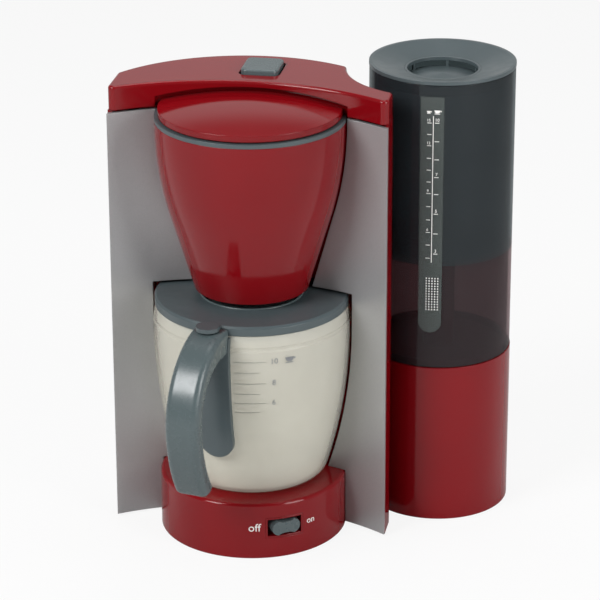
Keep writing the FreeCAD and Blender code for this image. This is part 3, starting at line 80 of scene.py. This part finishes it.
back = Vector((math.sin(AZIMUTH) * math.cos(ELEVATION),
               -math.cos(AZIMUTH) * math.cos(ELEVATION),
               math.sin(ELEVATION)))
right = Vector((math.cos(AZIMUTH), math.sin(AZIMUTH), 0.0))
up = back.cross(right)
rolled_right = right * math.cos(ROLL) + up * math.sin(ROLL)
rolled_up = up * math.cos(ROLL) - right * math.sin(ROLL)
camera_data = bpy.data.cameras.new("catalogue_camera")
camera_data.lens = LENS
camera_data.sensor_width = SENSOR
camera_data.clip_end = 20.0
camera = bpy.data.objects.new("catalogue_camera", camera_data)
bpy.context.scene.collection.objects.link(camera)
turn = Matrix((rolled_right, rolled_up, back)).transposed().to_4x4()
camera.matrix_world = Matrix.Translation(TARGET + back * DISTANCE) @ turn
bpy.context.scene.camera = camera
print("camera at mm:", [round(value / MM) for value in camera.matrix_world.translation])

# %% [markdown]
# ## Colour and node helpers
# Colours are written as sRGB hex, the way they are read off a colour card, and one
# function turns them into the linear values that the shaders use. A second small
# function adds a shader node with its settings and links in one line.

# %% Helpers for materials
def linear(text):
    """sRGB hex such as '8b0f18' to a linear RGBA tuple."""
    channels = [int(text[i:i + 2], 16) / 255.0 for i in (0, 2, 4)]
    curved = [c / 12.92 if c <= 0.04045 else ((c + 0.055) / 1.055) ** 2.4 for c in channels]
    return (*curved, 1.0)


def add(tree, kind, settings=None, **sockets):
    """Add a node; sockets are values or (node, output name) links, '_' meaning a space."""
    node = tree.nodes.new(kind)
    for key, value in (settings or {}).items():
        setattr(node, key, value)
    for key, value in sockets.items():
        name = int(key[1:]) if key[0] == "n" and key[1:].isdigit() else key.replace("_", " ")
        socket = node.inputs[name]
        if isinstance(value, tuple) and isinstance(value[0], bpy.types.Node):
            tree.links.new(value[0].outputs[value[1]], socket)
        else:
            socket.default_value = value
    return node


def new_material(name):
    """An empty node material with its output."""
    material = bpy.data.materials.new(name)
    material.use_nodes = True
    material.node_tree.nodes.clear()
    return material, material.node_tree


print("helpers ready; red card:", [round(c, 3) for c in linear("8b0f18")])

# %% [markdown]
# ## Moulded plastic
# Every moulded piece shares one recipe. Its colour drifts a little over tens of
# millimetres, its roughness varies over a few, and a very shallow bump gives the skin
# that a polished or a spark-eroded mould leaves. A bevel normal rounds the sharp edges
# of the shells by the small radius that every moulding has.

# %% Recipe for moulded plastic
def moulded(name, colour, drift, roughness, spread, skin_mm, depth_mm, edge_mm, shine=0.5):
    """A moulded plastic: two colours, roughness range, skin grain, edge radius and shine."""
    material, tree = new_material(name)
    place = add(tree, "ShaderNodeTexCoord")
    slow = add(tree, "ShaderNodeTexNoise", Vector=(place, "Object"), Scale=1.0 / (45 * MM),
               Detail=2.0)
    tint = add(tree, "ShaderNodeMix", {"data_type": "RGBA"}, Factor=(slow, "Fac"))
    tint.inputs[6].default_value = linear(colour)
    tint.inputs[7].default_value = linear(drift)
    cloud = add(tree, "ShaderNodeTexNoise", Vector=(place, "Object"), Scale=1.0 / (7 * MM),
                Detail=3.0)
    rough = add(tree, "ShaderNodeMapRange", Value=(cloud, "Fac"), From_Min=0.3, From_Max=0.7,
                To_Min=roughness - spread, To_Max=roughness + spread)
    grain = add(tree, "ShaderNodeTexNoise", Vector=(place, "Object"), Scale=1.0 / (skin_mm * MM),
                Detail=3.0)
    soft_edge = add(tree, "ShaderNodeBevel", {"samples": 4}, Radius=edge_mm * MM)
    bump = add(tree, "ShaderNodeBump", Height=(grain, "Fac"), Strength=1.0,
               Distance=depth_mm * MM, Normal=(soft_edge, "Normal"))
    shader = add(tree, "ShaderNodeBsdfPrincipled", Base_Color=(tint, 2), Roughness=(rough, 0),
                 Normal=(bump, "Normal"), Specular_IOR_Level=shine)
    add(tree, "ShaderNodeOutputMaterial", Surface=(shader, 0))
    return material


gloss_red = moulded("gloss_red_abs", "7c0810", "72060e", 0.11, 0.02, 3.0, 0.002, 0.7, 0.32)
satin_grey = moulded("satin_grey_abs", "4b5659", "454f52", 0.33, 0.05, 0.7, 0.006, 0.5)
gloss_grey = moulded("polished_grey_abs", "4f5b5d", "495456", 0.27, 0.04, 2.0, 0.003, 0.6)
matt_dark = moulded("matt_dark_polypropylene", "1c1f20", "171a1b", 0.55, 0.06, 0.5, 0.02, 0.4)
soft_rubber = moulded("matt_black_rubber", "151617", "1b1c1d", 0.7, 0.08, 0.4, 0.02, 0.3)
print("moulded plastics:", [m.name for m in bpy.data.materials if "_" in m.name][:5])

# %% [markdown]
# ## Painted silver
# The front panels are sprayed with a satin metallic paint. Fine flakes, under half a
# millimetre, tilt the light a little each way, and the coat over them is smooth.

# %% Silver paint and steel
def metal_paint(name, colour, metallic, roughness, flake_mm, flake_depth):
    """Metallic paint: flake cells vary the tone and tilt the normal slightly."""
    material, tree = new_material(name)
    place = add(tree, "ShaderNodeTexCoord")
    flakes = add(tree, "ShaderNodeTexVoronoi", Vector=(place, "Object"),
                 Scale=1.0 / (flake_mm * MM))
    tone = add(tree, "ShaderNodeMapRange", Value=(flakes, "Distance"), From_Min=0.0, From_Max=0.8,
               To_Min=0.0, To_Max=1.0)
    tint = add(tree, "ShaderNodeMix", {"data_type": "RGBA"}, Factor=(tone, 0))
    base = linear(colour)
    tint.inputs[6].default_value = tuple(min(1.0, c * 1.08) for c in base[:3]) + (1.0,)
    tint.inputs[7].default_value = tuple(c * 0.9 for c in base[:3]) + (1.0,)
    soft_edge = add(tree, "ShaderNodeBevel", {"samples": 4}, Radius=0.6 * MM)
    bump = add(tree, "ShaderNodeBump", Height=(flakes, "Distance"), Strength=1.0,
               Distance=flake_depth * MM, Normal=(soft_edge, "Normal"))
    shader = add(tree, "ShaderNodeBsdfPrincipled", Base_Color=(tint, 2), Metallic=metallic,
                 Roughness=roughness, Normal=(bump, "Normal"), Coat_Weight=0.25,
                 Coat_Roughness=0.2)
    add(tree, "ShaderNodeOutputMaterial", Surface=(shader, 0))
    return material


silver_paint = metal_paint("satin_silver_paint", "a9a9aa", 0.5, 0.40, 0.35, 0.004)
plain_steel = metal_paint("turned_steel", "b4b6b8", 1.0, 0.28, 0.6, 0.006)
print("metals:", silver_paint.name, plain_steel.name)

# %% [markdown]
# ## See-through plastics
# The jug, the level strip and the tank let light through. Each wall has two surfaces, so
# one surface only holds back part of the light: a share of the rays passes straight on
# and the rest meets a glossy skin.

# %% See-through plastics
def see_through(name, body, veil, passing, roughness, edge_mm, spread=0.02, haze_mm=30.0):
    """Moulded clear plastic: 'passing' of the light goes through, tinted by the veil."""
    material, tree = new_material(name)
    place = add(tree, "ShaderNodeTexCoord")
    haze = add(tree, "ShaderNodeTexNoise", Vector=(place, "Object"), Scale=1.0 / (haze_mm * MM),
               Detail=2.0)
    share = add(tree, "ShaderNodeMapRange", Value=(haze, "Fac"), From_Min=0.3, From_Max=0.7,
                To_Min=passing - spread, To_Max=passing + spread)
    soft_edge = add(tree, "ShaderNodeBevel", {"samples": 4}, Radius=edge_mm * MM)
    skin = add(tree, "ShaderNodeBsdfPrincipled", Base_Color=linear(body), Roughness=roughness,
               Normal=(soft_edge, "Normal"))
    clear = add(tree, "ShaderNodeBsdfTransparent", Color=linear(veil))
    blend = add(tree, "ShaderNodeMixShader", n0=(share, 0), n1=(skin, 0), n2=(clear, 0))
    add(tree, "ShaderNodeOutputMaterial", Surface=(blend, 0))
    return material


milky_clear = see_through("milky_clear_polystyrene", "f7f5ea", "fbfbf7", 0.66, 0.08, 0.8, 0.008)
smoked = see_through("smoked_clear_polystyrene", "343b3f", "99a4a6", 0.56, 0.10, 0.6)
smoked_thin = see_through("smoked_sleeve_polystyrene", "3a3437", "c4b2b4", 0.64, 0.10, 0.6)
strip_clear = see_through("level_strip_polystyrene", "6a7270", "c3cac8", 0.62, 0.12, 0.3)
hose_clear = see_through("clear_hose_vinyl", "c9cdc8", "e8eae6", 0.45, 0.18, 0.4)
print("see-through plastics ready")

# %% [markdown]
# ## Printing ink
# The scales and the switch words are pad printed: a matt film with slightly uneven cover.

# %% Ink
def ink(name, colour, worn):
    """A matt printed film whose cover is a little uneven."""
    material, tree = new_material(name)
    place = add(tree, "ShaderNodeTexCoord")
    patch = add(tree, "ShaderNodeTexNoise", Vector=(place, "Object"), Scale=1.0 / (1.5 * MM),
                Detail=3.0)
    tint = add(tree, "ShaderNodeMix", {"data_type": "RGBA"}, Factor=(patch, "Fac"))
    tint.inputs[6].default_value = linear(colour)
    tint.inputs[7].default_value = linear(worn)
    shader = add(tree, "ShaderNodeBsdfPrincipled", Base_Color=(tint, 2), Roughness=0.5)
    add(tree, "ShaderNodeOutputMaterial", Surface=(shader, 0))
    return material


white_ink = ink("white_print", "f2f0ee", "dcd9d6")
grey_ink = ink("grey_print", "84867e", "93958c")
pale_ink = ink("pale_print", "6d7073", "7c7f82")
print("inks ready")

# %% [markdown]
# ## Finishes on the shells
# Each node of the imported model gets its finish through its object's material slots.

# %% Give every node its finish
FINISHES = {
    gloss_red: ["rear_housing", "top_bridge", "niche_liner", "filter_dock", "jug_base",
                "tank_plinth", "water_column", "filter_cup", "filter_lid", "switch_bezel"],
    silver_paint: ["left_panel", "right_panel"],
    satin_grey: ["filter_basket", "handle_strip", "handle_inner", "jug_lid", "tank_lid",
                 "fill_grille", "push_rod"],
    gloss_grey: ["handle_grip", "brew_button", "power_rocker"],
    matt_dark: ["base_plate", "base_cover", "plinth_cover", "valve_body", "valve_cap"],
    soft_rubber: ["tank_seal", "valve_poppet"],
    plain_steel: ["base_screws", "bridge_screws", "button_spring", "handle_screw",
                  "jug_hinge_pin", "rocker_pin"],
    smoked: ["tank_body", "tank_outlet"],
    smoked_thin: ["tank_sleeve"],
    strip_clear: ["level_window"],
    milky_clear: ["jug_glass"],
    hose_clear: ["water_hose", "water_spout"],
}
for material, names in FINISHES.items():
    for name in names:
        for slot in nodes[name].material_slots:
            slot.link = "OBJECT"
            slot.material = material
finished = sum(len(names) for names in FINISHES.values())
print("nodes finished:", finished, "of", len(nodes))

# %% [markdown]
# ## Printing on curved walls
# A print is drawn flat in millimetres, u to the right and v up, and then pressed on to a
# drum: u turns round the drum's axis, and a ray cast inward finds the wall, so that the
# film follows it whatever its taper. The film stands a tenth of a millimetre proud.

# %% Flat shapes for prints
def strip(u0, v0, u1, v1, steps=6):
    """A flat bar from one corner to the other, cut across so that it can bend."""
    points, faces = [], []
    for i in range(steps + 1):
        u = u0 + (u1 - u0) * i / steps
        points += [(u, v0), (u, v1)]
    for i in range(steps):
        faces.append((2 * i, 2 * i + 2, 2 * i + 3, 2 * i + 1))
    return points, faces


def disc(u, v, radius, sides=10):
    """A small round dot."""
    points = [(u + radius * math.cos(2 * math.pi * i / sides),
               v + radius * math.sin(2 * math.pi * i / sides)) for i in range(sides)]
    return points, [tuple(range(sides))]


def polygon(corners):
    """One flat face through its corners."""
    return list(corners), [tuple(range(len(corners)))]


FONT_RATIO = 1.38


def words(text, height, u=0.0, v=0.0):
    """Plain lettering with capitals of that height, centred on u, as a flat mesh."""
    curve = bpy.data.curves.new("letters", "FONT")
    curve.body = text
    curve.size = height * FONT_RATIO
    curve.align_x = "CENTER"
    curve.resolution_u = 3
    holder = bpy.data.objects.new("letters", curve)
    bpy.context.scene.collection.objects.link(holder)
    bpy.context.view_layer.update()
    mesh = bpy.data.meshes.new_from_object(holder)
    points = [(u + p.co.x, v + p.co.y) for p in mesh.vertices]
    faces = [tuple(f.vertices) for f in mesh.polygons]
    bpy.data.objects.remove(holder)
    bpy.data.meshes.remove(mesh)
    bpy.data.curves.remove(curve)
    return points, faces


print("a 10 needs", len(words("10", 3.0)[0]), "points")


# %% Press a print on to a wall
def wall_of(node):
    """A ray-cast tree of one node's mesh."""
    mesh = nodes[node].data
    return BVHTree.FromPolygons([v.co for v in mesh.vertices],
                                [tuple(p.vertices) for p in mesh.polygons])


FILM = 0.12 * MM
RAY_REACH = 120 * MM


def press(name, node, body, axis, azimuth, height, shapes, material):
    """Wrap flat shapes round an upright axis on to a node's wall, as one film."""
    tree = wall_of(node)
    middle = math.radians(azimuth)
    centre = Vector((axis[0], axis[1], height)) * MM
    start = Vector((math.cos(middle), math.sin(middle), 0.0))
    hit = tree.ray_cast(centre + start * RAY_REACH, -start, RAY_REACH)[0]
    radius = (hit - centre).length / MM
    points, faces = [], []
    for flat, sides in shapes:
        first = len(points)
        for u, v in flat:
            angle = middle + u / radius
            out = Vector((math.cos(angle), math.sin(angle), 0.0))
            level = centre + Vector((0.0, 0.0, v * MM))
            spot = tree.ray_cast(level + out * RAY_REACH, -out, RAY_REACH)[0]
            points.append(spot + out * FILM)
        faces += [tuple(first + i for i in side) for side in sides]
    mesh = bpy.data.meshes.new(name)
    mesh.from_pydata(points, [], faces)
    mesh.materials.append(material)
    piece = bpy.data.objects.new(name, mesh)
    bpy.context.scene.collection.objects.link(piece)
    solid = piece.modifiers.new("film", "SOLIDIFY")
    solid.thickness = FILM
    solid.offset = -1.0
    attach(piece, body)
    return piece


print("printed film:", round(FILM / MM, 2), "mm thick")

# %% [markdown]
# ## Jug scale
# Ticks for the cups stand beside the handle strip, long for the even numbers and short
# for the odd ones, with plain numbers and a small cup sign beside the top one.

# %% Jug scale
def cup_sign(u, v, size):
    """A small plain cup: a bowl, a saucer bar and a loop."""
    bowl = polygon([(u - size, v + size), (u + size, v + size), (u + 0.8 * size, v + 0.3 * size),
                    (u + 0.4 * size, v), (u - 0.4 * size, v), (u - 0.8 * size, v + 0.3 * size)])
    saucer = strip(u - 0.9 * size, v - 0.35 * size, u + 0.9 * size, v - 0.15 * size, 3)
    loop = strip(u + size, v + 0.45 * size, u + 1.4 * size, v + 0.85 * size, 2)
    return [bowl, saucer, loop]


JUG_SCALE_AZ = -89.3
JUG_MID = 108.0
LONG_TICK, SHORT_TICK, HALF_TICK = 17.9, 14.2, 0.2
JUG_LEVELS = [(123.7, True, "10"), (117.2, False, ""), (110.5, True, "8"), (104.0, False, ""),
              (98.0, True, "6"), (92.2, False, "")]
jug_marks = []
for level, long_tick, label in JUG_LEVELS:
    length = LONG_TICK if long_tick else SHORT_TICK
    jug_marks.append(strip(0.0, level - JUG_MID - HALF_TICK, length, level - JUG_MID + HALF_TICK,
                           8))
press("jug_scale", "jug_glass", "jug", BREW_AXIS, JUG_SCALE_AZ, JUG_MID, jug_marks, grey_ink)
NUMBER_HEIGHT, NUMBER_U, NUMBER_DROP = 3.4, 22.5, 1.2
jug_labels = []
for level, long_tick, label in JUG_LEVELS:
    if label:
        jug_labels += [words(label, NUMBER_HEIGHT, NUMBER_U, level - JUG_MID - NUMBER_DROP)]
jug_labels += cup_sign(31.5, 123.0 - JUG_MID, 2.6)
press("jug_numbers", "jug_glass", "jug", BREW_AXIS, JUG_SCALE_AZ, JUG_MID, jug_labels, pale_ink)
print("jug marks:", len(jug_marks), "labels:", len(jug_labels))

# %% [markdown]
# ## Bead round the lid's dish
# The dish in the jug lid is edged with a small polished bead, which catches a fine line of
# light beside the filter cup. Its section is a half round, turned round the brewing axis.

# %% Lid bead
def lathe(name, section, axis, body, material, turns=128):
    """Turn a closed section of radius and height pairs, in mm, round an upright axis."""
    count = len(section)
    points, faces = [], []
    for i in range(turns):
        angle = 2 * math.pi * i / turns
        for radius, height in section:
            points.append(((axis[0] + radius * math.cos(angle)) * MM,
                           (axis[1] + radius * math.sin(angle)) * MM, height * MM))
    for i in range(turns):
        for j in range(count):
            a, b = i * count + j, i * count + (j + 1) % count
            c, d = ((i + 1) % turns) * count + (j + 1) % count, ((i + 1) % turns) * count + j
            faces.append((a, b, c, d))
    mesh = bpy.data.meshes.new(name)
    mesh.from_pydata(points, [], faces)
    form = bmesh.new()
    form.from_mesh(mesh)
    bmesh.ops.recalc_face_normals(form, faces=form.faces)
    form.to_mesh(mesh)
    form.free()
    mesh.shade_smooth()
    mesh.materials.append(material)
    piece = bpy.data.objects.new(name, mesh)
    bpy.context.scene.collection.objects.link(piece)
    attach(piece, body)
    return piece


BEAD_RADIUS = 29.4
BEAD_SIZE = 0.75
BEAD_SINK = 0.4
LID_FACE = 144.6
bead_section = [(BEAD_RADIUS + BEAD_SIZE * math.cos(math.pi * k / 8),
                 LID_FACE + BEAD_SIZE * math.sin(math.pi * k / 8)) for k in range(9)]
bead_section.append((BEAD_RADIUS, LID_FACE - BEAD_SINK))
lathe("lid_dish_bead", bead_section, BREW_AXIS, "jug_cover", gloss_grey)
print("bead radius:", BEAD_RADIUS, "mm")

# %% [markdown]
# ## Return spring
# The button's spring is a coil of wire between the dock and the collar of its rod. It gets
# shorter as the button goes down, and a rigid coil would cut into the collar. A copy of
# the coil, in steel, takes its place here.

# %% A copy of the coil
coil = bpy.data.objects.new("return_coil", nodes["button_spring"].data.copy())
coil.matrix_world = nodes["button_spring"].matrix_world.copy()
bpy.context.scene.collection.objects.link(coil)
coil.data.materials.clear()
coil.data.materials.append(plain_steel)
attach(coil, "root")
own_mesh(coil)
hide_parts("button_spring")

# %% [markdown]
# ## Tank scale
# One upright line divides the strip. Small cups are counted on its left and large ones on
# its right, each side with its cup sign on top. Under the vessel a field of dots marks
# the foot of the scale.

# %% Tank scale
TANK_SCALE_AZ = -89.2
SCALE_MID = 206.0
LEFT_TICKS = [246.7, 239.9, 233.2, 225.7, 218.6, 211.5, 204.6, 196.7, 188.6, 181.0, 173.3, 165.3]
LEFT_LABELS = {0: "15", 2: "12", 6: "9", 9: "6"}
RIGHT_TICKS = [246.8, 235.8, 225.0, 214.4, 204.2, 192.3, 180.3, 168.0]
RIGHT_LABELS = {0: "10", 3: "7", 5: "5", 7: "3"}
SIDES = [(LEFT_TICKS, LEFT_LABELS, -3.4, -1.0, -2.6, 1.6, 1.2),
         (RIGHT_TICKS, RIGHT_LABELS, 0.9, 3.4, 2.2, 1.9, 1.7)]
HALF_LINE, HALF_MARK, LABEL_LIFT = 0.22, 0.18, 0.9
tank_marks = [strip(-HALF_LINE, 162.7 - SCALE_MID, HALF_LINE, 250.9 - SCALE_MID, 1)]
for ticks, labels, start, end, label_u, label_height, _ in SIDES:
    for i, level in enumerate(ticks):
        v = level - SCALE_MID
        tank_marks.append(strip(start, v - HALF_MARK, end, v + HALF_MARK, 2))
        if i in labels:
            tank_marks.append(words(labels[i], label_height, label_u, v + LABEL_LIFT))
for *_, label_u, _, cup_size in SIDES:
    tank_marks += cup_sign(label_u, 252.6 - SCALE_MID, cup_size)
for row in range(13):
    for column in range(5):
        tank_marks.append(disc(-2.7 + column * 1.65, 133.7 + row * 1.6 - SCALE_MID, 0.42))
press("tank_scale", "level_window", "tank", TANK_AXIS, TANK_SCALE_AZ, SCALE_MID, tank_marks,
      white_ink)
print("tank marks:", len(tank_marks))

# %% [markdown]
# ## Switch words
# Plain words stand either side of the rocker on the base drum.

# %% Switch words
WORDS = [("off", -78.6, 17.2, 5.0), ("on", -41.9, 17.6, 4.0)]
for text, azimuth, height, size in WORDS:
    press("switch_" + text + "_word", "jug_base", "root", BREW_AXIS, azimuth, height,
          [words(text, size)], white_ink)
print("switch words:", [word[0] for word in WORDS])

# %% [markdown]
# ## Studio
# A white floor and world give the plain background. A large soft lamp stands high on the
# left, a fill stands on the right, and a long lamp above brightens the tops.

# %% Floor and world
floor_mesh = bpy.data.meshes.new("studio_floor")
REACH = 6.0
FLOOR_GAP = 0.4 * MM
CAMERA_WHITE = 0.88
floor_mesh.from_pydata([(-REACH, -REACH, 0), (REACH, -REACH, 0), (REACH, REACH, 0),
                        (-REACH, REACH, 0)], [], [(0, 1, 2, 3)])
floor = bpy.data.objects.new("studio_floor", floor_mesh)
bpy.context.scene.collection.objects.link(floor)
floor.location.z = -FLOOR_GAP
floor_paint, tree = new_material("studio_floor_paint")
light_path = add(tree, "ShaderNodeLightPath")
matt_white = add(tree, "ShaderNodeBsdfDiffuse", Color=linear("d2d2d2"))
white_card = add(tree, "ShaderNodeEmission", Color=(1, 1, 1, 1), Strength=1.0)
share = add(tree, "ShaderNodeMath", {"operation": "MULTIPLY"},
            n0=(light_path, "Is Camera Ray"), n1=CAMERA_WHITE)
mixed = add(tree, "ShaderNodeMixShader", n0=(share, 0), n1=(matt_white, 0), n2=(white_card, 0))
add(tree, "ShaderNodeOutputMaterial", Surface=(mixed, 0))
floor_mesh.materials.append(floor_paint)

world = bpy.data.worlds.new("studio_world")
world.use_nodes = True
tree = world.node_tree
tree.nodes.clear()
light_path = add(tree, "ShaderNodeLightPath")
place = add(tree, "ShaderNodeTexCoord")
parts = add(tree, "ShaderNodeSeparateXYZ", Vector=(place, "Generated"))
card = add(tree, "ShaderNodeMapRange", Value=(parts, "Z"), From_Min=0.44, From_Max=0.54,
           To_Min=0.62, To_Max=0.25)
behind = add(tree, "ShaderNodeMapRange", Value=(parts, "Y"), From_Min=-0.4, From_Max=0.4,
             To_Min=0.45, To_Max=1.0)
level = add(tree, "ShaderNodeMath", {"operation": "MULTIPLY"}, n0=(card, 0), n1=(behind, 0))
ambient = add(tree, "ShaderNodeBackground", Color=(1, 1, 1, 1), Strength=(level, 0))
white = add(tree, "ShaderNodeBackground", Color=(1, 1, 1, 1), Strength=1.0)
seen = add(tree, "ShaderNodeMixShader", n0=(light_path, "Is Camera Ray"), n1=(ambient, 0),
           n2=(white, 0))
add(tree, "ShaderNodeOutputWorld", Surface=(seen, 0))
bpy.context.scene.world = world
print("floor and world ready")


# %% Lamps
def lamp(name, place_mm, aim_mm, width, height, power):
    """A rectangular soft lamp aimed at a point."""
    data = bpy.data.lights.new(name, "AREA")
    data.shape = "RECTANGLE"
    data.size = width
    data.size_y = height
    data.energy = power
    item = bpy.data.objects.new(name, data)
    bpy.context.scene.collection.objects.link(item)
    place_m = Vector(place_mm) * MM
    direction = Vector(aim_mm) * MM - place_m
    item.matrix_world = (Matrix.Translation(place_m)
                         @ direction.to_track_quat("-Z", "Y").to_matrix().to_4x4())
    return item


AIM = (20, 20, 130)
key = lamp("key_lamp", (-900, -1100, 1300), AIM, 0.8, 0.8, 30.0)
fill = lamp("fill_lamp", (1300, -700, 700), AIM, 0.6, 1.0, 15.0)
top = lamp("top_lamp", (100, 400, 1500), AIM, 1.0, 0.6, 8.0)
print("lamps:", key.data.energy, fill.data.energy, top.data.energy)

# %% [markdown]
# ## View settings
# The picture uses the Standard view.

# %% Finish
bpy.context.scene.view_settings.view_transform = "Standard"
bpy.context.view_layer.update()
